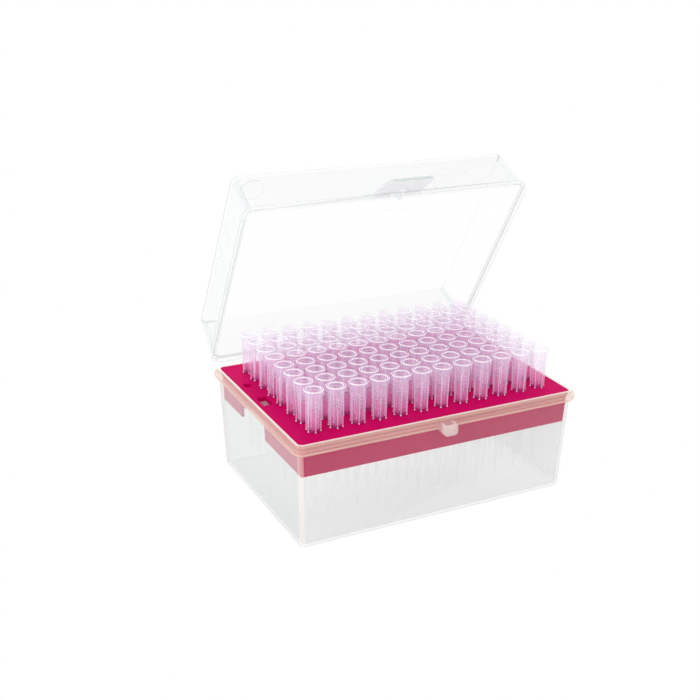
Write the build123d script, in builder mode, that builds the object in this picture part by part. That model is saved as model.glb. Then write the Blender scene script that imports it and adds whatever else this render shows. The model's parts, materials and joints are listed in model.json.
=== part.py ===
from build123d import *
from math import cos, radians, sin, tan
import os

# A hinged box of 96 pipette tips: a tub, a lid, a tip rack and the tips. Millimetres.
# The origin is the middle of the tub's underside. +Z is up, +X runs along the rack's 12 columns
# and the hinge is along the back, at +Y. The lid stands part open.

# Tip grid
columns = 12
rows = 8
pitch = 9.0
group_rows = 4  # tips in a node

# Tip: heights are above the rack's top face, on which its ribs stand
tip_stand = 16.4
tip_reach = 34.9  # below the rack's top face
tip_wall = 0.5
body_foot_radius = 2.45  # where the body enters the rack
neck_radius = 3.16
rim_reach = 0.62  # of the rim, past the neck
rim_height = 1.9
neck_slope = 0.5  # height of the cone from the neck to the rim
mouth_wall = 0.44  # of the neck at the mouth
stop_depth = 8.0  # below the rim, where a pipette's cone stops
stop_wall = 0.58
taper_length = 4.0  # from the rack's top face down to the long cone
taper_narrowing = 0.25
point_radius = 0.46
point_wall = 0.23
rib_count = 6
rib_reach = 0.41  # of a rib's foot, past the body
rib_top_gap = 1.2  # bare neck above the ribs
rib_turn = 37.0  # degrees that each tip is turned from the one before
seat_edge = 0.08  # how far the body widens on the rack, between the ribs

# Rack
rack_end_margin = 9.55  # from the outer tips' middles to the plate's edge
rack_side_margin = 9.2
rack_corner_radius = 1.5
least_corner_radius = 0.2  # of any plan inside it
rack_plate = 1.8
socket_gap = 0.1  # round the tip's body
skirt_depth = 12.0
skirt_thickness = 1.1
notch_front = -5.2
notch_back = 19.0
notch_height = 8.0
notch_slope = 9.5  # length of its slanted top
notch_step = 3.6  # height of its back edge
slot_length = 8.1
slot_width = 3.9
slot_place = (3.5, 0.6)  # from the plate's left edge, and along it
gate_radius = 1.7
gate_place = (3.4, 18.3)

# Tub
tub_wall = 1.15
tub_floor = 1.2
tub_draft = 2.3  # degrees
foot_round = 1.4
point_gap = 7.1  # between the tips' points and the tub's floor
seat_width = 0.3  # ledge that carries the rack
rack_gap = 0.3  # round the rack's plate
skirt_gap = 0.25  # between the skirt and the tub's wall
lip_thickness = 0.9
lip_height = 1.2  # above the shoulder that the lid closes on
flange_reach = 1.6  # past the lip
flange_height = 2.1
flange_round = 0.45
groove_depth = 0.35  # round the flange's front and sides, at half its height
groove_height = 0.5
under_reach = 0.8  # step under the flange, past the lip
under_height = 0.8

# Catch: a loop on the tub's front, which the lid's tongue enters
catch_width = 5.8
catch_reach = 4.1  # past the flange
catch_height = 4.3
catch_wall = 1.0
catch_round = 1.3
catch_edge = 0.4
loop_gap = 0.3  # between the flange and the loop's hole

# Lid
roof_gap = 2.8  # between the tips' rims and the shut lid's roof
lid_wall = 1.1
band_height = 2.6
band_step = 0.9  # how far the band stands out from the wall
rebate_height = 1.8
lip_gap = 0.3  # between the closed lid's band and the tub's lip
close_gap = 0.1  # between the closed lid and the shoulder
roof_inset = 1.1  # of the roof's edge from the foot of the wall, at each end
roof_front_inset = 1.15
roof_back_inset = 0.35
roof_round = 1.0
rest_angle = 59.5  # how far the lid stands open

# Raised lines on the roof: a label's frame and a bare ring
frame_length = 40.6
frame_width = 18.4
frame_gaps = (9.8, 9.65)  # to the roof's right and front edges
frame_radius = 6.0
ring_radius = 5.1
ring_gaps = (10.0, 8.65)  # from its middle to the roof's left and front edges
line_width = 0.5
line_height = 0.25

# Thumb tab and tongue
tab_root_width = 20.2
tab_end_width = 19.8
tab_reach = 14.6
tab_drop = 6.4  # of its end, below the lid's mouth
tab_rise = 0.35  # of its root above the lid's mouth, to clear the flange
tab_start_angle = 15.0  # degrees below level
tab_thickness = 1.2
tab_bead = 1.7
tab_corner_radius = 3.0
window_side_gap = 0.4  # round the catch
window_front_gap = 0.5
tongue_side_gap = 0.3  # in the catch's loop
tongue_point = 1.0
tongue_length = 2.8  # below the lid's mouth
tongue_thickness = 1.0
tongue_gap = 0.7  # between the band and the tongue
tongue_root = 1.6  # height of its root on the band

# Hinge: two bars between ears on the tub, in open knuckles on the lid
hinge_spacing = 66.0
hinge_gap = 0.3  # between the flange and the knuckles
hinge_rise = 0.4  # the bar's middle above the shoulder
bar_radius = 0.9
bar_fit = 0.06
knuckle_wall = 0.64
knuckle_width = 9.0
knuckle_opening = 70.0  # degrees, to snap over the bar
web_thickness = 1.2
ear_thickness = 1.8
ear_side_gap = 0.35
ear_drop = 0.9  # of the ear's root below the shoulder
ear_root = 0.15  # how deep its root runs into the flange


def grown(plan, by):
    """A rounded rectangle's half length, half width and corner radius, offset outwards."""
    return (plan[0] + by, plan[1] + by, max(plan[2] + by, least_corner_radius))


def leaned(plan, drop, angle):
    """The plan of a drafted wall, drop below the given one."""
    inset = drop * tan(radians(angle))
    return (plan[0] - inset, plan[1] - inset, plan[2])


def rounded(plan, mode=Mode.ADD):
    RectangleRounded(2 * plan[0], 2 * plan[1], plan[2], mode=mode)


# Heights
rack_top = tub_floor + point_gap + tip_reach
rim_top = rack_top + tip_stand
seat_height = rack_top - rack_plate
skirt_bottom = seat_height - skirt_depth
shoulder = rack_top - lip_height
flange_bottom = shoulder - flange_height
lid_mouth = shoulder + close_gap
band_top = lid_mouth + band_height
roof_top = rim_top + roof_gap + lid_wall

# Plans
rack_plan = (
    (columns - 1) * pitch / 2 + rack_end_margin,
    (rows - 1) * pitch / 2 + rack_side_margin,
    rack_corner_radius,
)
lip_inner = grown(rack_plan, rack_gap)
lip_outer = grown(lip_inner, lip_thickness)
flange_plan = grown(lip_outer, flange_reach)
under_plan = grown(lip_outer, under_reach)
cavity_top = grown(rack_plan, -seat_width)
cavity_foot = leaned(cavity_top, seat_height - tub_floor, tub_draft)
wall_top = grown(cavity_top, tub_wall)
wall_foot = leaned(wall_top, seat_height, tub_draft)
skirt_top = grown(cavity_top, -skirt_gap)
skirt_foot = leaned(skirt_top, skirt_depth, tub_draft)
rim_plan = flange_plan
rebate_plan = grown(lip_outer, lip_gap)
waist_plan = grown(rim_plan, -band_step)
roof_plan = (
    waist_plan[0] - roof_inset,
    waist_plan[1] - (roof_front_inset + roof_back_inset) / 2,
    waist_plan[2],
)
roof_shift = (roof_front_inset - roof_back_inset) / 2
roof_front = roof_shift - roof_plan[1]
frame_plan = (frame_length / 2, frame_width / 2, frame_radius)

# Front of the box, as distances along -Y
rim_front = rim_plan[1]
catch_front = flange_plan[1] + catch_reach
loop_back = flange_plan[1] + loop_gap
loop_front = catch_front - catch_wall
loop_width = catch_width - 2 * catch_wall
window_front = catch_front + window_front_gap
tongue_front = rim_front + tongue_gap + tongue_thickness
tongue_width = loop_width - 2 * tongue_side_gap

# Hinge line
knuckle_bore = bar_radius + bar_fit
knuckle_radius = knuckle_bore + knuckle_wall
hinge_y = flange_plan[1] + knuckle_radius + hinge_gap
hinge_z = shoulder + hinge_rise
bar_length = knuckle_width + 2 * ear_side_gap
ear_top = shoulder - ear_drop
hinge_middles = (-hinge_spacing / 2, hinge_spacing / 2)

os.makedirs("parts", exist_ok=True)


# Tub: a drafted shell with a flange, a lip round the rack and a ledge that carries it
with BuildPart() as tub:
    with BuildSketch():
        rounded(wall_foot)
    with BuildSketch(Plane.XY.offset(seat_height)):
        rounded(wall_top)
    loft()
    fillet(tub.faces().sort_by(Axis.Z)[0].edges(), foot_round)

    with BuildSketch(Plane.XY.offset(flange_bottom - under_height)):
        rounded(under_plan)
    extrude(amount=under_height)
    with BuildSketch(Plane.XY.offset(flange_bottom)):
        rounded(flange_plan)
    extrude(amount=flange_height)
    fillet(tub.faces().filter_by(Axis.Z).sort_by(Axis.Z)[-1].outer_wire().edges(), flange_round)
    with BuildSketch(Plane.XY.offset(flange_bottom + (flange_height - groove_height) / 2)):
        rounded(flange_plan)
        rounded(grown(flange_plan, -groove_depth), Mode.SUBTRACT)
        with Locations((0, flange_plan[1])):
            Rectangle(2 * flange_plan[0], 2 * flange_plan[2], mode=Mode.SUBTRACT)
    extrude(amount=groove_height, mode=Mode.SUBTRACT)
    with BuildSketch(Plane.XY.offset(shoulder)):
        rounded(lip_outer)
    extrude(amount=lip_height)

    with BuildSketch(Plane.XY.offset(tub_floor)):
        rounded(cavity_foot)
    with BuildSketch(Plane.XY.offset(seat_height)):
        rounded(cavity_top)
    loft(mode=Mode.SUBTRACT)
    with BuildSketch(Plane.XY.offset(seat_height)):
        rounded(lip_inner)
    extrude(amount=rack_plate, mode=Mode.SUBTRACT)

    # Catch loop
    with BuildSketch(Plane.XZ.offset(catch_front)) as catch_face:
        with Locations((0, shoulder - catch_height / 2)):
            Rectangle(catch_width, catch_height)
        fillet(catch_face.vertices().sort_by(Axis.Y)[:2], catch_round)
    extrude(amount=-(catch_front - wall_top[1] + tub_wall / 2))
    fillet(tub.faces().sort_by(Axis.Y)[0].edges(), catch_edge)
    with BuildSketch(Plane.XY.offset(shoulder)):
        with Locations((0, -(loop_back + loop_front) / 2)):
            Rectangle(loop_width, loop_front - loop_back)
    extrude(amount=-catch_height, mode=Mode.SUBTRACT)

    # Hinge ears and bars
    for middle in hinge_middles:
        for side in (-1, 1):
            ear_middle = middle + side * (bar_length + ear_thickness) / 2
            with BuildSketch(Plane.YZ.offset(ear_middle)):
                with Locations((hinge_y, hinge_z)):
                    Circle(knuckle_radius)
                with Locations((flange_plan[1] - ear_root / 2, (flange_bottom + ear_top) / 2)):
                    Rectangle(ear_root, ear_top - flange_bottom)
                make_hull()
            extrude(amount=ear_thickness / 2, both=True)
        with BuildSketch(Plane.YZ.offset(middle)):
            with Locations((hinge_y, hinge_z)):
                Circle(bar_radius)
        extrude(amount=bar_length / 2, both=True)

tub.part.label = "tub"
export_step(tub.part, "parts/tub.step")


# Rack: a plate of 96 sockets on a skirt, with a finger notch in the left side
with BuildPart() as tip_rack:
    with BuildSketch(Plane.XY.offset(skirt_bottom)):
        rounded(skirt_foot)
    with BuildSketch(Plane.XY.offset(seat_height)):
        rounded(skirt_top)
    loft()
    with BuildSketch(Plane.XY.offset(skirt_bottom)):
        rounded(grown(skirt_foot, -skirt_thickness))
    with BuildSketch(Plane.XY.offset(seat_height)):
        rounded(grown(skirt_top, -skirt_thickness))
    loft(mode=Mode.SUBTRACT)
    with BuildSketch(Plane.XY.offset(seat_height)):
        rounded(rack_plan)
    extrude(amount=rack_plate)

    with BuildSketch(Plane.XY.offset(rack_top)):
        with GridLocations(pitch, pitch, columns, rows):
            Circle(body_foot_radius + socket_gap)
        with Locations((slot_place[0] - rack_plan[0], slot_place[1])):
            Rectangle(slot_width, slot_length)
        with Locations((gate_place[0] - rack_plan[0], gate_place[1])):
            Circle(gate_radius)
    extrude(amount=-rack_plate, mode=Mode.SUBTRACT)

    with BuildSketch(Plane.YZ.offset(-rack_plan[0])):
        with BuildLine():
            Polyline(
                (notch_front, skirt_bottom),
                (notch_front, skirt_bottom + notch_height),
                (notch_back - notch_slope, skirt_bottom + notch_height),
                (notch_back, skirt_bottom + notch_step),
                (notch_back, skirt_bottom),
                close=True,
            )
        make_face()
    extrude(amount=rack_plan[0] / 2, mode=Mode.SUBTRACT)

tip_rack.part.label = "tip_rack"
export_step(tip_rack.part, "parts/tip_rack.step")


# Thumb tab: a curved strip with a bead along its end
with BuildPart() as thumb_tab:
    tab_root = (-(rim_front - band_step), lid_mouth + tab_rise + tab_thickness / 2)
    tab_end = (-(rim_front + tab_reach - tab_bead / 2), lid_mouth - tab_drop + tab_bead / 2)
    tab_direction = (-cos(radians(tab_start_angle)), -sin(radians(tab_start_angle)))
    with BuildSketch(Plane.YZ):
        with BuildLine():
            TangentArc(tab_root, tab_end, tangent=tab_direction)
        trace(line_width=tab_thickness)
        with Locations(tab_end):
            Circle(tab_bead / 2)
    extrude(amount=tab_root_width / 2, both=True)
    with BuildSketch(Plane.XY.offset(lid_mouth - 2 * tab_drop)) as tab_plan:
        with BuildLine():
            Polyline(
                (-tab_root_width / 2, tab_root[0] + tab_thickness),
                (-tab_end_width / 2, tab_end[0] - tab_bead / 2),
                (tab_end_width / 2, tab_end[0] - tab_bead / 2),
                (tab_root_width / 2, tab_root[0] + tab_thickness),
                close=True,
            )
        make_face()
        fillet(tab_plan.vertices().sort_by(Axis.Y)[:2], tab_corner_radius)
    extrude(amount=4 * tab_drop, mode=Mode.INTERSECT)


# Lid, shut: a drafted shell with a stepped band round its mouth
with BuildPart() as lid:
    with BuildSketch(Plane.XY.offset(band_top)):
        rounded(waist_plan)
    with BuildSketch(Plane.XY.offset(roof_top)):
        with Locations((0, roof_shift)):
            rounded(roof_plan)
    loft()
    fillet(lid.faces().sort_by(Axis.Z)[-1].edges(), roof_round)
    with BuildSketch(Plane.XY.offset(lid_mouth)):
        rounded(rim_plan)
    extrude(amount=band_height)

    # Hollow, with a rebate that clears the tub's lip
    with BuildSketch(Plane.XY.offset(band_top)):
        rounded(grown(waist_plan, -lid_wall))
    with BuildSketch(Plane.XY.offset(roof_top - lid_wall)):
        with Locations((0, roof_shift)):
            rounded(grown(roof_plan, -lid_wall))
    loft(mode=Mode.SUBTRACT)
    with BuildSketch(Plane.XY.offset(band_top)):
        rounded(grown(waist_plan, -lid_wall))
    extrude(amount=-band_height, mode=Mode.SUBTRACT)
    with BuildSketch(Plane.XY.offset(lid_mouth)):
        rounded(rebate_plan)
    extrude(amount=rebate_height, mode=Mode.SUBTRACT)

    # Raised lines on the roof
    with BuildSketch(Plane.XY.offset(roof_top)):
        frame_x = roof_plan[0] - frame_gaps[0] - frame_length / 2
        frame_y = roof_front + frame_gaps[1] + frame_width / 2
        with Locations((frame_x, frame_y)):
            rounded(frame_plan)
            rounded(grown(frame_plan, -line_width), Mode.SUBTRACT)
        with Locations((ring_gaps[0] - roof_plan[0], roof_front + ring_gaps[1])):
            Circle(ring_radius)
            Circle(ring_radius - line_width, mode=Mode.SUBTRACT)
    extrude(amount=line_height)

    # Thumb tab, with a window that the catch passes and a tongue in it
    add(thumb_tab.part)
    with BuildSketch(Plane.XY.offset(lid_mouth + 2 * tab_thickness)):
        with Locations((0, -(rim_front + window_front) / 2)):
            Rectangle(catch_width + 2 * window_side_gap, window_front - rim_front)
    extrude(amount=-(2 * tab_thickness + tab_drop), mode=Mode.SUBTRACT)
    with BuildSketch(Plane.XZ.offset(tongue_front)):
        with BuildLine():
            Polyline(
                (-tongue_width / 2, lid_mouth + tongue_root),
                (-tongue_width / 2, lid_mouth),
                (-tongue_point / 2, lid_mouth - tongue_length),
                (tongue_point / 2, lid_mouth - tongue_length),
                (tongue_width / 2, lid_mouth),
                (tongue_width / 2, lid_mouth + tongue_root),
                close=True,
            )
        make_face()
    extrude(amount=-tongue_thickness)
    with BuildSketch(Plane.XZ.offset(tongue_front)):
        with Locations((0, lid_mouth + tongue_root / 2)):
            Rectangle(tongue_width, tongue_root)
    extrude(amount=-(tongue_front - rim_front + band_step))

    # Hinge knuckles
    for middle in hinge_middles:
        with BuildSketch(Plane.YZ.offset(middle)):
            with Locations((hinge_y, hinge_z)):
                Circle(knuckle_radius)
            web_back = hinge_y - rim_front + band_step
            with Locations((hinge_y - web_back / 2, hinge_z + knuckle_radius - web_thickness / 2)):
                Rectangle(web_back, web_thickness)
            with Locations((hinge_y, hinge_z)):
                Circle(knuckle_bore, mode=Mode.SUBTRACT)
                half_opening = 2 * knuckle_radius * tan(radians(knuckle_opening / 2))
                Polygon(
                    (0, 0),
                    (-half_opening, -2 * knuckle_radius),
                    (half_opening, -2 * knuckle_radius),
                    align=None,
                    mode=Mode.SUBTRACT,
                )
        extrude(amount=knuckle_width / 2, both=True)

# Swing the lid open about the hinge line
lid.part = lid.part.rotate(Axis((0, hinge_y, hinge_z), (1, 0, 0)), -rest_angle)
lid.part.label = "lid"
export_step(lid.part, "parts/lid.step")


# Tip: a hollow cone with a flared rim. Its rounds have a corner for each rib and each gap between
# ribs, and the ribs' feet stand on the rack.
tip_sides = 2 * rib_count
neck_top = tip_stand - rim_height - neck_slope
rib_top = neck_top - rib_top_gap
rim_radius = neck_radius + rim_reach
valley_radius = body_foot_radius + seat_edge
taper_foot_radius = body_foot_radius - taper_narrowing


def body_radius(height):
    return body_foot_radius + (neck_radius - body_foot_radius) * height / neck_top


below_seat = (
    (-tip_reach, point_radius),
    (-taper_length, taper_foot_radius),
    (0, body_foot_radius),
)
above_seat = (
    (rib_top, body_radius(rib_top)),
    (neck_top, neck_radius),
    (tip_stand - rim_height, rim_radius),
    (tip_stand, rim_radius),
)
inside = (
    (-tip_reach, point_radius - point_wall),
    (-taper_length, taper_foot_radius - tip_wall),
    (tip_stand - stop_depth, body_radius(tip_stand - stop_depth) - stop_wall),
    (tip_stand, neck_radius - mouth_wall),
)
with BuildPart() as tip:
    for height, radius in below_seat:
        with BuildSketch(Plane.XY.offset(height)):
            RegularPolygon(radius, tip_sides)
    loft(ruled=True)
    with BuildSketch():
        with BuildLine():
            corners = []
            for corner in range(tip_sides):
                radius = valley_radius if corner % 2 else body_foot_radius + rib_reach
                turn = radians(corner * 360 / tip_sides)
                corners.append((radius * cos(turn), radius * sin(turn)))
            Polyline(*corners, close=True)
        make_face()
    for height, radius in above_seat:
        with BuildSketch(Plane.XY.offset(height)):
            RegularPolygon(radius, tip_sides)
    loft(ruled=True)
    for height, radius in inside:
        with BuildSketch(Plane.XY.offset(height)):
            RegularPolygon(radius, tip_sides)
    loft(ruled=True, mode=Mode.SUBTRACT)

# Tips in groups: four of a column's eight, lettered from the back
for column in range(columns):
    for first_row in range(0, rows, group_rows):
        places = []
        for row in range(first_row, first_row + group_rows):
            x = (column - (columns - 1) / 2) * pitch
            y = ((rows - 1) / 2 - row) * pitch
            places.append(Location((x, y, rack_top), (0, 0, rib_turn * (column * rows + row))))
        with BuildPart() as tips:
            with Locations(*places):
                add(tip.part)
        letters = "abcdefgh"[first_row] + "_to_" + "abcdefgh"[first_row + group_rows - 1]
        tips.part.label = f"tips_{letters}_{column + 1:02d}"
        export_step(tips.part, f"parts/{tips.part.label}.step")
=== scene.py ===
import json
from math import atan2, cos, degrees, pi, radians, sin

import bmesh
import bpy
from mathutils import Matrix, Vector


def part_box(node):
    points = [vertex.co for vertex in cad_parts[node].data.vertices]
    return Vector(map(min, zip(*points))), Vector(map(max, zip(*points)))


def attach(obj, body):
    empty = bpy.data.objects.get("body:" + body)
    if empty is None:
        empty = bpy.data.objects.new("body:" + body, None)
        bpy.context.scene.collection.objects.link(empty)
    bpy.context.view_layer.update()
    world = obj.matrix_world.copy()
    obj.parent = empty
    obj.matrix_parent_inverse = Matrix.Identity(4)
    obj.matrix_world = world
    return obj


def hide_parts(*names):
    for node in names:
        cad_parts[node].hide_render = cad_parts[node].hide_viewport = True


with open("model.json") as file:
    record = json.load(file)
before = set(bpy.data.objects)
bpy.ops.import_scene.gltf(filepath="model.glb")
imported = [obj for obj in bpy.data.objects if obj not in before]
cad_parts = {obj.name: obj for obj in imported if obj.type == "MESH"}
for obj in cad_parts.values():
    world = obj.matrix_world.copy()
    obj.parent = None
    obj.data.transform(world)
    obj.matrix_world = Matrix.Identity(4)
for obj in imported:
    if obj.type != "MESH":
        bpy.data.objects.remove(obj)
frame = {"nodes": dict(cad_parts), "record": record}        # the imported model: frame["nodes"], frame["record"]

mm = 0.001
scene = bpy.context.scene
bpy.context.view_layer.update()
rackLow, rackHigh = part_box("tip_rack")
rackTop = rackHigh.z


def newGroup(name, inputs, outputs):
    group = bpy.data.node_groups.new(name, "ShaderNodeTree")
    for socketName, socketType, value in inputs:
        socket = group.interface.new_socket(socketName, in_out="INPUT", socket_type=socketType)
        socket.default_value = value
    for socketName, socketType in outputs:
        group.interface.new_socket(socketName, in_out="OUTPUT", socket_type=socketType)
    return group, group.nodes.new("NodeGroupInput"), group.nodes.new("NodeGroupOutput")


skinSizes = {
    "flowDetail": 3, "grainDetail": 2, "grainShare": 0.25, "bumpDepth": 0.2 * mm,
    "rackReflectionHeight": 15 * mm, "edgeBlend": 0.5,
}


def buildMouldedSkin(s):
    # fine grain, soft unevenness and a few flow streaks
    group, given, out = newGroup(
        "mouldedSkin",
        [
            ("Tint", "NodeSocketColor", (1, 1, 1, 1)),
            ("Tint Dark", "NodeSocketColor", (0.9, 0.9, 0.9, 1)),
            ("Roughness Low", "NodeSocketFloat", 0.1),
            ("Roughness High", "NodeSocketFloat", 0.2),
            ("Flow Scale", "NodeSocketFloat", 60.0),
            ("Grain Scale", "NodeSocketFloat", 2500.0),
            ("Bump Strength", "NodeSocketFloat", 0.1),
        ],
        [
            ("Color", "NodeSocketColor"),
            ("Roughness", "NodeSocketFloat"),
            ("Normal", "NodeSocketVector"),
        ],
    )
    nodes, links = group.nodes, group.links
    place = nodes.new("ShaderNodeTexCoord")
    flow = nodes.new("ShaderNodeTexNoise")
    flow.inputs["Detail"].default_value = s["flowDetail"]
    grain = nodes.new("ShaderNodeTexNoise")
    grain.inputs["Detail"].default_value = s["grainDetail"]
    mixTint = nodes.new("ShaderNodeMix")
    mixTint.data_type = "RGBA"
    spread = nodes.new("ShaderNodeMapRange")
    bump = nodes.new("ShaderNodeBump")
    bump.inputs["Distance"].default_value = s["bumpDepth"]
    height = nodes.new("ShaderNodeMath")
    height.operation = "MULTIPLY_ADD"
    height.inputs[1].default_value = s["grainShare"]
    links.new(place.outputs["Object"], flow.inputs["Vector"])
    links.new(place.outputs["Object"], grain.inputs["Vector"])
    links.new(given.outputs["Flow Scale"], flow.inputs["Scale"])
    links.new(given.outputs["Grain Scale"], grain.inputs["Scale"])
    links.new(flow.outputs["Fac"], mixTint.inputs["Factor"])
    links.new(given.outputs["Tint Dark"], mixTint.inputs["A"])
    links.new(given.outputs["Tint"], mixTint.inputs["B"])
    links.new(flow.outputs["Fac"], spread.inputs["Value"])
    links.new(given.outputs["Roughness Low"], spread.inputs["To Min"])
    links.new(given.outputs["Roughness High"], spread.inputs["To Max"])
    links.new(grain.outputs["Fac"], height.inputs[0])
    links.new(flow.outputs["Fac"], height.inputs[2])
    links.new(height.outputs["Value"], bump.inputs["Height"])
    links.new(given.outputs["Bump Strength"], bump.inputs["Strength"])
    links.new(mixTint.outputs["Result"], out.inputs["Color"])
    links.new(spread.outputs["Result"], out.inputs["Roughness"])
    links.new(bump.outputs["Normal"], out.inputs["Normal"])
    return group


mouldedSkin = buildMouldedSkin(skinSizes)


def paintRackReflection(nodes, links, lowColor, upperTint):
    # painted reflection: low down, a tip keeps its look's tint, painted with the rack's colour,
    # which gives way to upperTint higher up
    place = nodes.new("ShaderNodeTexCoord")
    parts = nodes.new("ShaderNodeSeparateXYZ")
    climb = nodes.new("ShaderNodeMapRange")
    climb.inputs["From Min"].default_value = rackTop
    climb.inputs["From Max"].default_value = rackTop + skinSizes["rackReflectionHeight"]
    blend = nodes.new("ShaderNodeMix")
    blend.data_type = "RGBA"
    blend.inputs["B"].default_value = (*upperTint, 1)
    links.new(place.outputs["Object"], parts.inputs["Vector"])
    links.new(parts.outputs["Z"], climb.inputs["Value"])
    links.new(climb.outputs["Result"], blend.inputs["Factor"])
    links.new(lowColor, blend.inputs["A"])
    return blend.outputs["Result"]


def edgeDensity(nodes, links, look):
    # less of the view comes through where the plastic is seen edge on
    facing = nodes.new("ShaderNodeLayerWeight")
    facing.inputs["Blend"].default_value = skinSizes["edgeBlend"]
    edge = nodes.new("ShaderNodeMath")
    edge.operation = "POWER"
    edge.inputs[1].default_value = look["edgePower"]
    density = nodes.new("ShaderNodeMapRange")
    density.inputs["To Min"].default_value = look["alpha"]
    density.inputs["To Max"].default_value = look["edgeAlpha"]
    links.new(facing.outputs["Facing"], edge.inputs[0])
    links.new(edge.outputs["Value"], density.inputs["Value"])
    return density.outputs["Result"]


def plastic(name, moulding, look):
    # clear plastic is see-through by its alpha
    material = bpy.data.materials.new(name)
    material.use_nodes = True
    nodes, links = material.node_tree.nodes, material.node_tree.links
    shader = nodes["Principled BSDF"]
    skin = nodes.new("ShaderNodeGroup")
    skin.node_tree = mouldedSkin
    skin.inputs["Tint"].default_value = (*look["tint"], 1)
    skin.inputs["Tint Dark"].default_value = (*look["tintDark"], 1)
    skin.inputs["Roughness Low"].default_value = moulding["roughness"][0]
    skin.inputs["Roughness High"].default_value = moulding["roughness"][1]
    skin.inputs["Flow Scale"].default_value = moulding["flowScale"]
    skin.inputs["Grain Scale"].default_value = moulding["grainScale"]
    skin.inputs["Bump Strength"].default_value = moulding["bump"]
    color = skin.outputs["Color"]
    if "upperTint" in look:
        color = paintRackReflection(nodes, links, color, look["upperTint"])
    links.new(color, shader.inputs["Base Color"])
    links.new(skin.outputs["Roughness"], shader.inputs["Roughness"])
    links.new(skin.outputs["Normal"], shader.inputs["Normal"])
    shader.inputs["IOR"].default_value = moulding["ior"]
    shader.inputs["Specular IOR Level"].default_value = look.get("specular", moulding["specular"])
    shader.inputs["Transmission Weight"].default_value = look.get("transmission", 0.0)
    shader.inputs["Alpha"].default_value = look["alpha"]
    if "edgeAlpha" in look:
        links.new(edgeDensity(nodes, links, look), shader.inputs["Alpha"])
    return material


def setOrder(bm):
    # operators leave vertices and faces in an order that can change from run to run
    for i, v in enumerate(sorted(bm.verts, key=lambda v: v.co[:])):
        v.index = i
    bm.verts.sort()
    for i, face in enumerate(sorted(bm.faces, key=lambda f: sorted(v.co[:] for v in f.verts))):
        face.index = i
    bm.faces.sort()


def finishPiece(bm, name, materials, body, replaced, smoothAngle=40):
    setOrder(bm)
    mesh = bpy.data.meshes.new(name)
    bm.to_mesh(mesh)
    bm.free()
    mesh.shade_smooth()
    mesh.set_sharp_from_angle(angle=radians(smoothAngle))
    for material in materials:
        mesh.materials.append(material)
    piece = bpy.data.objects.new(name, mesh)
    scene.collection.objects.link(piece)
    weighted = piece.modifiers.new("evenNormals", "WEIGHTED_NORMAL")
    weighted.keep_sharp = True
    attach(piece, body)
    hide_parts(*replaced)


# shared by the three shells; angles in degrees
shellSizes = {"join": 0.002 * mm, "flatAngle": 1.0, "sharpAngle": 35.0, "roomBeside": 2.1}


def weldedCopy(nodeName):
    # the moulding's own shape, welded, in as few faces as it needs
    bm = bmesh.new()
    bm.from_mesh(frame["nodes"][nodeName].data)
    bmesh.ops.remove_doubles(bm, verts=bm.verts, dist=shellSizes["join"])
    bmesh.ops.dissolve_limit(
        bm, angle_limit=radians(shellSizes["flatAngle"]), verts=bm.verts, edges=bm.edges
    )
    return bm


def roundEdges(bm, width, edgeMaterial, wanted):
    # a mould leaves no edge quite sharp; an edge with too little room beside it stays as it is
    creased = {
        e for e in bm.edges
        if len(e.link_faces) == 2 and e.calc_face_angle() > radians(shellSizes["sharpAngle"])
    }
    sharp = {e for e in creased if e.is_convex and wanted(e)}
    hollow = {v for e in creased if not e.is_convex for v in e.verts}
    room = shellSizes["roomBeside"] * width
    tight = {
        v for e in sharp for v in e.verts
        if any(beside not in sharp and beside.calc_length() < room for beside in v.link_edges)
    }
    free = [e for e in bm.edges if e in sharp and not (tight | hollow) & set(e.verts)]
    rounds = bmesh.ops.bevel(
        bm, geom=free, offset=width, offset_type="OFFSET", segments=2,
        profile=0.5, affect="EDGES", clamp_overlap=False, material=-1,
    )
    for face in rounds["faces"]:
        face.material_index = edgeMaterial


def beyondRack(v):
    return max(abs(v.co.x) - rackHigh.x, abs(v.co.y) - rackHigh.y)


def slotsOf(looks):
    return {name: i for i, name in enumerate(looks)}


def finishesOf(looks, moulding):
    return [plastic(name, moulding, look) for name, look in looks.items()]


# The lid is worked on shut, where its levels are level, and put back as it stands.
lidMoulding = {
    "roughness": (0.06, 0.12), "flowScale": 30, "grainScale": 1500, "bump": 0.03,
    "ior": 1.42, "specular": 0.5,
}
lidLooks = {
    "lidWall": {
        "tint": (0.80, 0.84, 0.82), "tintDark": (0.77, 0.81, 0.79),
        "alpha": 0.07, "edgeAlpha": 0.38, "edgePower": 1.5,
    },
    # painted shade: the rim band's edges, the tab's end and the front and left roof edges drawn
    # dark, where the clear lid is seen edge on
    "lidEdgeShade": {"tint": (0.55, 0.64, 0.59), "tintDark": (0.51, 0.60, 0.55), "alpha": 0.62},
    "thumbTab": {"tint": (0.74, 0.77, 0.82), "tintDark": (0.70, 0.73, 0.79), "alpha": 0.26},
    "lidRoof": {
        "tint": (0.86, 0.90, 0.89), "tintDark": (0.84, 0.88, 0.87),
        "alpha": 0.0, "edgeAlpha": 0.05, "edgePower": 2.0,
    },
    # painted shade: the rounded corners drawn darker
    "lidCornerShade": {
        "tint": (0.62, 0.72, 0.74), "tintDark": (0.58, 0.68, 0.70),
        "alpha": 0.16, "edgeAlpha": 0.3, "edgePower": 2.0,
    },
}
lidSizes = {
    "round": 0.1 * mm, "rimRound": 0.35 * mm, "roofDepth": 1.2 * mm, "beadDepth": 0.45 * mm,
    "tabStart": 2.9 * mm, "outerEdge": 2.6 * mm, "innerEdge": 0.9 * mm,  # past the rack's plate
    "bandTop": 1.7 * mm,  # above the rack's top face
    "nearEdge": 0.9,  # share of the rack's half length and half width
    "level": 0.95, "upright": 0.3, "sideways": 0.9, "turned": 0.25,  # parts of a face's normal
}
lidSlots = slotsOf(lidLooks)
hinge = next(j for j in frame["record"]["behaviour"]["joints"] if j["name"] == "lid_hinge")
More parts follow.
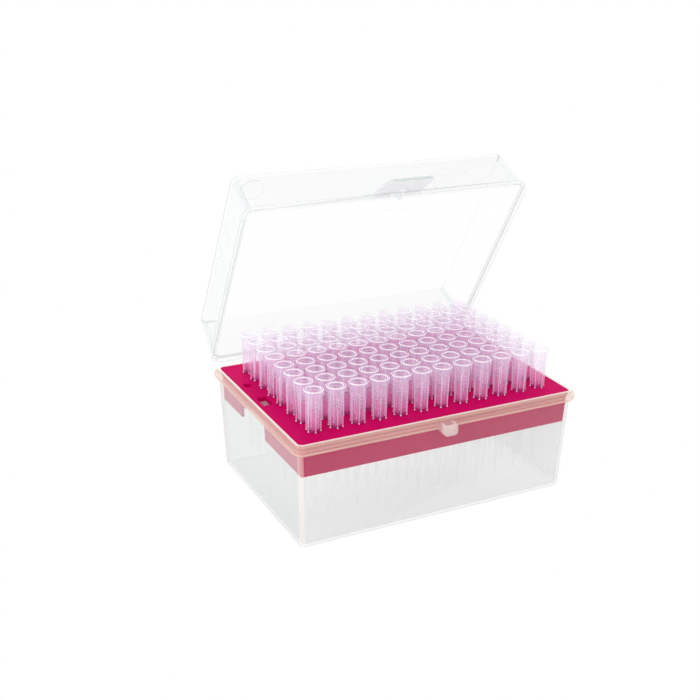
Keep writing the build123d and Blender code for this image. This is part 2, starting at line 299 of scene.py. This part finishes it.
hingePlace = Vector(hinge["pos_m"])
swing = Matrix.Rotation(radians(-hinge["range_deg"][0]), 4, "X")
shut = Matrix.Translation(hingePlace) @ swing @ Matrix.Translation(-hingePlace)
bandTop = rackTop + lidSizes["bandTop"]


def onRim(edge):
    # the band's outer edge and the inner edge of its rebate
    past = [beyondRack(v) for v in edge.verts]
    outer = lidSizes["outerEdge"] < min(past) and max(past) < lidSizes["tabStart"]
    inner = max(past) < lidSizes["innerEdge"]
    return max(v.co.z for v in edge.verts) < bandTop and (outer or inner)


def lidFinish(face, s, roofTop, frontEnd):
    centre = face.calc_center_median()
    lowest = min(v.co.z for v in face.verts)
    slope = abs(face.normal.z)
    frontOrLeft = centre.y < rackLow.y * s["nearEdge"] or centre.x < rackLow.x * s["nearEdge"]
    # painted light: the right wall takes the roof's near-clear finish, so it renders brighter than
    # the left wall
    brighterRightWall = abs(face.normal.x) > s["sideways"] and centre.x > 0 and centre.z > bandTop
    if centre.y < rackLow.y - s["tabStart"]:
        return "lidEdgeShade" if centre.y < frontEnd + s["beadDepth"] else "thumbTab"
    # only the front and left roof edges get the painted edge shade
    if lowest > roofTop - s["roofDepth"] and s["upright"] < slope < s["level"] and frontOrLeft:
        return "lidEdgeShade"
    if slope > s["level"] or brighterRightWall:
        return "lidRoof"
    if slope < s["upright"] and min(abs(face.normal.x), abs(face.normal.y)) > s["turned"]:
        return "lidCornerShade"
    return "lidWall"


lid = weldedCopy("lid")
bmesh.ops.transform(lid, matrix=shut, verts=lid.verts)
roofTop = max(v.co.z for v in lid.verts)
frontEnd = min(v.co.y for v in lid.verts)
roundEdges(lid, lidSizes["rimRound"], lidSlots["lidEdgeShade"], onRim)
roundEdges(lid, lidSizes["round"], lidSlots["lidWall"], lambda edge: not onRim(edge))
for face in lid.faces:
    if face.material_index != lidSlots["lidEdgeShade"]:
        face.material_index = lidSlots[lidFinish(face, lidSizes, roofTop, frontEnd)]
bmesh.ops.transform(lid, matrix=shut.inverted(), verts=lid.verts)
lidFinishes = finishesOf(lidLooks, lidMoulding)
finishPiece(lid, "lid_shell", lidFinishes, "lid", ["lid"])
print("lid ready")

tubMoulding = {
    "roughness": (0.2, 0.28), "flowScale": 35, "grainScale": 1800, "bump": 0.05,
    "ior": 1.4, "specular": 0.5,
}
tubLooks = {
    "tubWall": {
        "tint": (0.655, 0.70, 0.69), "tintDark": (0.625, 0.67, 0.66),
        "alpha": 0.024, "edgeAlpha": 0.5, "edgePower": 1.5,
    },
    # the flange is thicker plastic, less clear; its peach tint is painted reflection of the rack's
    # magenta
    "tubFlangePaintedReflection": {
        "tint": (0.95, 0.72, 0.61), "tintDark": (0.92, 0.69, 0.58),
        "alpha": 0.42, "transmission": 0.1,
    },
    # painted highlight: the outward corners drawn pale, warmed with painted reflection of the rack
    "tubCornerHighlight": {
        "tint": (0.96, 0.87, 0.81), "tintDark": (0.93, 0.84, 0.78),
        "alpha": 0.3, "edgeAlpha": 0.55, "edgePower": 2.0,
    },
    # painted highlight: the top of the lip drawn near white and dense
    "tubLipHighlight": {"tint": (1.0, 1.0, 0.95), "tintDark": (0.98, 0.98, 0.93), "alpha": 0.65},
    "tubCatch": {
        "tint": (0.92, 0.81, 0.77), "tintDark": (0.89, 0.78, 0.74),
        "alpha": 0.34, "edgeAlpha": 0.75, "edgePower": 2.0,
    },
    "tubFloor": {"tint": (0.64, 0.66, 0.65), "tintDark": (0.60, 0.62, 0.61), "alpha": 0.16},
}
tubSizes = {
    "round": 0.12 * mm, "footHeight": 1.5 * mm,
    "flangeDepth": 4.3 * mm, "lipDepth": 0.2 * mm,  # below the rack's top face
    "catchStart": 2.9 * mm, "flangeStart": -0.1 * mm,  # past the rack's plate
    "level": 0.9, "underneath": -0.3, "turned": 0.25,  # parts of a face's normal
}
tubSlots = slotsOf(tubLooks)


def tubFinish(face, s):
    centre = face.calc_center_median()
    side = face.normal.xy
    heights = [v.co.z for v in face.verts]
    outward = centre.xy.dot(side) > 0 or face.normal.z < s["underneath"]
    pastRack = min(beyondRack(v) for v in face.verts) > s["flangeStart"]
    if centre.y < rackLow.y - s["catchStart"]:
        return "tubCatch"
    if min(heights) > rackTop - s["lipDepth"]:
        return "tubLipHighlight"
    if min(heights) > rackTop - s["flangeDepth"] and pastRack:
        return "tubFlangePaintedReflection"
    if max(heights) < s["footHeight"] and abs(face.normal.z) > s["level"]:
        return "tubFloor"
    if outward and min(abs(side.x), abs(side.y)) > s["turned"]:
        return "tubCornerHighlight"
    return "tubWall"


tub = weldedCopy("tub")
roundEdges(tub, tubSizes["round"], tubSlots["tubWall"], lambda edge: True)
for face in tub.faces:
    face.material_index = tubSlots[tubFinish(face, tubSizes)]
tubFinishes = finishesOf(tubLooks, tubMoulding)
finishPiece(tub, "tub_shell", tubFinishes, "box", ["tub"])
print("tub ready")

rackMoulding = {
    "roughness": (0.4, 0.5), "flowScale": 50, "grainScale": 2600, "bump": 0.15,
    "ior": 1.3, "specular": 0.02,
}
rackLook = {"tint": (0.57, 0.0, 0.105), "tintDark": (0.53, 0.0, 0.095), "alpha": 1.0}
rackSizes = {
    "round": 0.12 * mm, "glow": 0.4, "glowReach": (1.0, 0.05, 0.12), "glowDepth": 1.5 * mm,
}
rack = weldedCopy("tip_rack")
roundEdges(rack, rackSizes["round"], 0, lambda edge: True)
magentaRack = plastic("magentaRack", rackMoulding, rackLook)
rackShader = magentaRack.node_tree.nodes["Principled BSDF"]
rackShader.inputs["Subsurface Weight"].default_value = rackSizes["glow"]
rackShader.inputs["Subsurface Radius"].default_value = rackSizes["glowReach"]
rackShader.inputs["Subsurface Scale"].default_value = rackSizes["glowDepth"]
finishPiece(rack, "rack_plate", [magentaRack], "box", ["tip_rack"])
print("rack ready")

tipMoulding = {
    "roughness": (0.05, 0.1), "flowScale": 120, "grainScale": 3000, "bump": 0.01,
    "ior": 1.4, "specular": 0.5,
}
tipLooks = {
    # the low tint of clearTip is painted reflection of the rack's magenta
    "clearTip": {
        "tint": (0.97, 0.48, 0.92), "tintDark": (0.94, 0.46, 0.90), "upperTint": (0.93, 0.87, 1.0),
        "alpha": 0.135, "edgeAlpha": 0.6, "edgePower": 4.0,
    },
    # painted highlight: the rim and mouth edge drawn white, for the light the clear rim catches
    "rimHighlight": {"tint": (1.0, 1.0, 1.0), "tintDark": (0.98, 0.98, 0.99), "alpha": 0.95},
    "tipPoint": {
        "tint": (1.0, 0.93, 0.88), "tintDark": (0.98, 0.90, 0.85),
        "alpha": 0.02, "edgeAlpha": 0.1, "edgePower": 3.0,
    },
    # ribs, step lines and the rim cut: thicker plastic, less clear, and drawn whiter as a painted
    # highlight; the pink low tint is painted reflection of the rack
    "ribAndLineHighlight": {
        "tint": (1.0, 0.78, 1.0), "tintDark": (0.98, 0.75, 0.99), "upperTint": (0.98, 0.95, 1.0),
        "alpha": 0.34, "edgeAlpha": 0.74, "edgePower": 2.0,
    },
    "rimTop": {"tint": (0.84, 0.74, 1.0), "tintDark": (0.81, 0.71, 0.98), "alpha": 0.14},
    # painted shade: dark magenta on the taper inside the rack's socket, for the socket's wall in
    # shadow seen through the clear tip
    "paintedSocketShade": {
        "tint": (0.66, 0.0, 0.22), "tintDark": (0.63, 0.0, 0.21),
        "alpha": 0.97, "specular": 0.05,
    },
    # painted shade: the tips under the rack drawn pink and dim, for shade and the rack's magenta
    # below the plate
    "paintedUnderRackShade": {"tint": (0.75, 0.30, 0.45), "tintDark": (0.71, 0.28, 0.42), "alpha": 0.7},
    # painted shade: dark magenta on the tip's foot just above the rack, for the shadowed socket
    # seen through the clear plastic
    "paintedFootShade": {
        "tint": (0.50, 0.0, 0.17), "tintDark": (0.47, 0.0, 0.16),
        "alpha": 0.3, "edgeAlpha": 0.5, "edgePower": 4.0, "specular": 0.05,
    },
}
# millimetres, with heights from the rack's top face; angles in degrees
tipSizes = {
    "pitch": 9.0, "rows": 8, "inGroup": 4, "steps": 48,
    "stand": 16.4, "reach": 34.9, "rackDepth": 13.8, "paintedFootShade": 1.3,
    "rimRadius": 3.78, "rimHeight": 1.9, "rimRound": 0.2, "rimCut": 0.1, "rimCutHeight": 0.08,
    "neckRadius": 3.16, "neckSlope": 0.5, "bodyFoot": 2.45, "taper": 4.0, "taperFoot": 2.2,
    "pointRadius": 0.46, "boreRadius": 0.23, "wall": 0.5, "footWidening": 0.2,
    "mouthRadius": 2.72, "mouthRound": 0.17, "stopDepth": 8.0, "stopRadius": 2.3,
    "stepDepth": 6.6, "stepWidth": 0.1, "stepHeight": 0.16, "stopHeight": 0.16,
    "ribs": 6, "ribTurn": 37.0, "ribFoot": 2.86, "ribGap": 1.2, "lift": 0.02,
    "dotRadius": 0.28, "dotSink": 0.05, "near": 0.01, "join": 0.001,
}
tipSlots = slotsOf(tipLooks)


def arc(centreR, centreZ, radius, start, end, count):
    angles = [radians(start + (end - start) * i / count) for i in range(count + 1)]
    return [(centreR + radius * cos(a), centreZ + radius * sin(a)) for a in angles]


def tipProfile(s):
    # each point has the finish of the band that starts there
    neckTop = s["stand"] - s["rimHeight"] - s["neckSlope"]
    rimFoot = neckTop + s["neckSlope"]
    ribTop = neckTop - s["ribGap"]
    widening = (s["neckRadius"] - s["bodyFoot"]) / neckTop
    belowRack = (s["reach"] - s["rackDepth"]) / (s["reach"] - s["taper"])
    hidden = s["pointRadius"] + (s["taperFoot"] - s["pointRadius"]) * belowRack
    outside = [
        (s["pointRadius"], -s["reach"], "tipPoint"),
        (hidden, -s["rackDepth"], "paintedUnderRackShade"),
        (s["taperFoot"], -s["taper"], "paintedSocketShade"),
        (s["bodyFoot"], 0, "paintedFootShade"),
        (s["bodyFoot"] + widening * s["paintedFootShade"], s["paintedFootShade"], "clearTip"),
        (s["bodyFoot"] + widening * ribTop, ribTop, "clearTip"),
        (s["neckRadius"], neckTop, "clearTip"),
        (s["rimRadius"] - s["rimCut"], rimFoot - s["rimCutHeight"], "ribAndLineHighlight"),
        (s["rimRadius"], rimFoot + s["rimCutHeight"], "rimTop"),
    ]
    rimRound, mouthRound = s["rimRound"], s["mouthRound"]
    rimArc = arc(s["rimRadius"] - rimRound, s["stand"] - rimRound, rimRound, 0, 90, 3)
    rim = [(r, z, "rimHighlight") for r, z in rimArc]
    rim[-1] = (*rimArc[-1], "rimTop")
    mouthArc = arc(s["mouthRadius"] + mouthRound, s["stand"] - mouthRound, mouthRound, 90, 180, 2)
    mouth = [(r, z, "rimHighlight") for r, z in mouthArc]
    mouth[-1] = (*mouthArc[-1], "clearTip")
    stepZ = s["stand"] - s["stepDepth"]
    narrowing = (s["mouthRadius"] - s["stopRadius"]) * s["stepDepth"] / s["stopDepth"]
    stepR = s["mouthRadius"] - narrowing
    stopZ = s["stand"] - s["stopDepth"]
    inside = [
        (stepR, stepZ, "ribAndLineHighlight"),
        (stepR - s["stepWidth"], stepZ - s["stepHeight"], "clearTip"),
        (s["stopRadius"], stopZ, "ribAndLineHighlight"),
        (s["stopRadius"] - s["stepWidth"], stopZ - s["stopHeight"], "clearTip"),
        (s["taperFoot"] - s["wall"] + s["footWidening"], 0, "tipPoint"),
        (s["taperFoot"] - s["wall"], -s["taper"], "tipPoint"),
        (s["boreRadius"], -s["reach"], "tipPoint"),
    ]
    return outside + rim + mouth + inside


def paintBands(bm, profile):
    # a face takes the band whose middle is nearest to its own
    bands = {}
    for i, (r, z, finish) in enumerate(profile):
        nextR, nextZ = profile[(i + 1) % len(profile)][:2]
        bands[((r + nextR) / 2, (z + nextZ) / 2)] = finish
    for face in bm.faces:
        heights = [v.co.z / mm for v in face.verts]
        radii = [v.co.xy.length / mm for v in face.verts]
        midR, midZ = (min(radii) + max(radii)) / 2, (min(heights) + max(heights)) / 2
        nearest = min(bands, key=lambda middle: abs(middle[0] - midR) + abs(middle[1] - midZ))
        face.material_index = tipSlots[bands[nearest]]


def columnOf(co, s):
    return round(degrees(atan2(co.y, co.x)) / (360 / s["steps"]) - 0.5) % s["steps"]


def drawRibs(bm, s):
    # the ribs are drawn out of the body, from its foot to just under the neck
    ribTop = (s["stand"] - s["rimHeight"] - s["neckSlope"] - s["ribGap"] + s["near"]) * mm
    ribEvery = s["steps"] // s["ribs"]
    ribbed = []
    for face in bm.faces:
        centre = face.calc_center_median()
        heights = [v.co.z for v in face.verts]
        alongRib = -s["near"] * mm < min(heights) and max(heights) < ribTop
        if alongRib and centre.xy.dot(face.normal.xy) > 0 and columnOf(centre, s) % ribEvery == 0:
            ribbed.append(face)
    drawn = bmesh.ops.extrude_face_region(bm, geom=ribbed)["geom"]
    bmesh.ops.delete(bm, geom=[f for f in ribbed if f.is_valid], context="FACES")
    crest = [v for v in drawn if isinstance(v, bmesh.types.BMVert)]
    for v in crest:
        share = 1 - v.co.z / ribTop
        v.co.xy *= 1 + share * (s["ribFoot"] / s["bodyFoot"] - 1)
        v.co.z += s["lift"] * mm
    for face in {f for v in crest for f in v.link_faces}:
        face.material_index = tipSlots["ribAndLineHighlight"]


def addRibFeet(bm, s):
    # a small round foot under each rib, drawn white as a painted highlight
    out = Matrix.Translation(
        ((s["ribFoot"] - s["dotSink"]) * mm, 0, (s["dotRadius"] + s["lift"]) * mm)
    )
    for i in range(s["ribs"]):
        angle = 2 * pi * (i * (s["steps"] // s["ribs"]) + 0.5) / s["steps"]
        spot = Matrix.Rotation(angle, 4, "Z") @ out
        dot = bmesh.ops.create_icosphere(
            bm, subdivisions=1, radius=s["dotRadius"] * mm, matrix=spot
        )
        for face in {f for v in dot["verts"] for f in v.link_faces}:
            face.material_index = tipSlots["rimHighlight"]


def buildTip(s):
    bm = bmesh.new()
    profile = tipProfile(s)
    ring = [bm.verts.new((r * mm, 0, z * mm)) for r, z, finish in profile]
    edges = [bm.edges.new((ring[i], ring[(i + 1) % len(ring)])) for i in range(len(ring))]
    bmesh.ops.spin(
        bm, geom=ring + edges, cent=(0, 0, 0), axis=(0, 0, 1), angle=2 * pi, steps=s["steps"],
        use_merge=True, use_duplicate=False,
    )
    bmesh.ops.recalc_face_normals(bm, faces=bm.faces)
    paintBands(bm, profile)
    drawRibs(bm, s)
    addRibFeet(bm, s)
    bmesh.ops.remove_doubles(bm, verts=bm.verts, dist=s["join"] * mm)
    print("tip", len(bm.faces), "faces,", sum(not e.is_manifold for e in bm.edges), "open edges")
    mesh = bpy.data.meshes.new("tip")
    bm.to_mesh(mesh)
    bm.free()
    return mesh


def buildTipGroup(nodeName, tipMesh, s):
    # four tips in a half column, each turned a little from the one before
    low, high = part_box(nodeName)
    column = int(nodeName[-2:]) - 1
    firstRow = "abcdefgh".index(nodeName[len("tips_")])
    bm = bmesh.new()
    for i in range(s["inGroup"]):
        before = len(bm.verts)
        bm.from_mesh(tipMesh)
        bm.verts.ensure_lookup_table()
        y = (low.y + high.y) / 2 + ((s["inGroup"] - 1) / 2 - i) * s["pitch"] * mm
        spot = Matrix.Translation(((low.x + high.x) / 2, y, rackTop))
        angle = radians(s["ribTurn"] * (column * s["rows"] + firstRow + i))
        turn = Matrix.Rotation(angle, 4, "Z")
        bmesh.ops.transform(bm, matrix=spot @ turn, verts=bm.verts[before:])
    return bm


tipFinishes = finishesOf(tipLooks, tipMoulding)
tipMesh = buildTip(tipSizes)
for nodeName in sorted(n for n in frame["nodes"] if n.startswith("tips_")):
    bm = buildTipGroup(nodeName, tipMesh, tipSizes)
    name = nodeName + "_clear"
    finishPiece(bm, name, tipFinishes, "box", [nodeName], smoothAngle=35)
print("tips ready", len(tipMesh.polygons), "faces each")

stageSizes = {
    "floorSize": 3.0, "floorColor": 0.97, "floorRoughness": 0.9,
    "worldLight": 0.7, "worldSeen": 1.0,
}


def clearSight(nodes, links):
    # 1 for what the camera, a reflection or clear plastic sees
    path = nodes.new("ShaderNodeLightPath")
    seen = path.outputs["Is Camera Ray"]
    for rayName in ("Is Glossy Ray", "Is Transmission Ray"):
        either = nodes.new("ShaderNodeMath")
        either.operation = "MAXIMUM"
        links.new(seen, either.inputs[0])
        links.new(path.outputs[rayName], either.inputs[1])
        seen = either.outputs["Value"]
    return seen


def paleStage(name, s):
    # plain white to the eye, and a pale floor to the light that falls on it
    material = bpy.data.materials.new(name)
    material.use_nodes = True
    nodes, links = material.node_tree.nodes, material.node_tree.links
    shader = nodes["Principled BSDF"]
    shader.inputs["Base Color"].default_value = (*[s["floorColor"]] * 3, 1)
    shader.inputs["Roughness"].default_value = s["floorRoughness"]
    shader.inputs["Specular IOR Level"].default_value = 0.0
    glow = nodes.new("ShaderNodeEmission")
    mix = nodes.new("ShaderNodeMixShader")
    links.new(clearSight(nodes, links), mix.inputs["Fac"])
    links.new(shader.outputs["BSDF"], mix.inputs[1])
    links.new(glow.outputs["Emission"], mix.inputs[2])
    links.new(mix.outputs["Shader"], nodes["Material Output"].inputs["Surface"])
    return material


bm = bmesh.new()
bmesh.ops.create_grid(bm, x_segments=1, y_segments=1, size=stageSizes["floorSize"] / 2)
floorMesh = bpy.data.meshes.new("floor")
bm.to_mesh(floorMesh)
bm.free()
floorMesh.materials.append(paleStage("paleFloor", stageSizes))
floor = bpy.data.objects.new("floor", floorMesh)
scene.collection.objects.link(floor)

world = bpy.data.worlds.new("studio")
scene.world = world
world.use_nodes = True
nodes, links = world.node_tree.nodes, world.node_tree.links
background = nodes["Background"]
background.inputs["Color"].default_value = (1, 1, 1, 1)
strength = nodes.new("ShaderNodeMapRange")
strength.inputs["To Min"].default_value = stageSizes["worldLight"]
strength.inputs["To Max"].default_value = stageSizes["worldSeen"]
links.new(clearSight(nodes, links), strength.inputs["Value"])
links.new(strength.outputs["Result"], background.inputs["Strength"])

# metres and watts
lampSizes = {
    "size": 0.6, "aim": (0, 0, 0.05),
    "lamps": {
        "keyLight": {"place": (-0.9, -0.4, 0.55), "power": 4.5},
        "fillLight": {"place": (-0.1, -1.0, 0.45), "power": 1.2},
        "backLight": {"place": (0.3, 0.6, 0.6), "power": 3.0},
    },
}
for name, look in lampSizes["lamps"].items():
    lamp = bpy.data.lights.new(name, "AREA")
    lamp.shape = "DISK"
    lamp.size = lampSizes["size"]
    lamp.energy = look["power"]
    lampObject = bpy.data.objects.new(name, lamp)
    lampObject.location = look["place"]
    towards = Vector(lampSizes["aim"]) - Vector(look["place"])
    lampObject.rotation_euler = towards.to_track_quat("-Z", "Y").to_euler()
    scene.collection.objects.link(lampObject)

# the place is in millimetres, the angles are in degrees
cameraSizes = {
    "place": (-206.2, -375.8, 220.5), "azimuth": -29.13, "elevation": 21.02, "roll": 1.63,
    "lens": 58.5, "shiftX": -0.0714, "nearest": 0.01,
}
cameraData = bpy.data.cameras.new("camera")
cameraData.lens = cameraSizes["lens"]
cameraData.shift_x = cameraSizes["shiftX"]
cameraData.clip_start = cameraSizes["nearest"]
camera = bpy.data.objects.new("camera", cameraData)
turn = Matrix.Rotation(radians(cameraSizes["azimuth"]), 4, "Z")
tilt = Matrix.Rotation(radians(90 - cameraSizes["elevation"]), 4, "X")
roll = Matrix.Rotation(radians(cameraSizes["roll"]), 4, "Z")
camera.matrix_world = Matrix.Translation(Vector(cameraSizes["place"]) * mm) @ turn @ tilt @ roll
scene.collection.objects.link(camera)
scene.camera = camera

scene.view_settings.view_transform = "Standard"
# a view through the box passes many clear walls
scene.cycles.max_bounces = 64
scene.cycles.transmission_bounces = 64
scene.cycles.transparent_max_bounces = 128
print("light and camera ready")
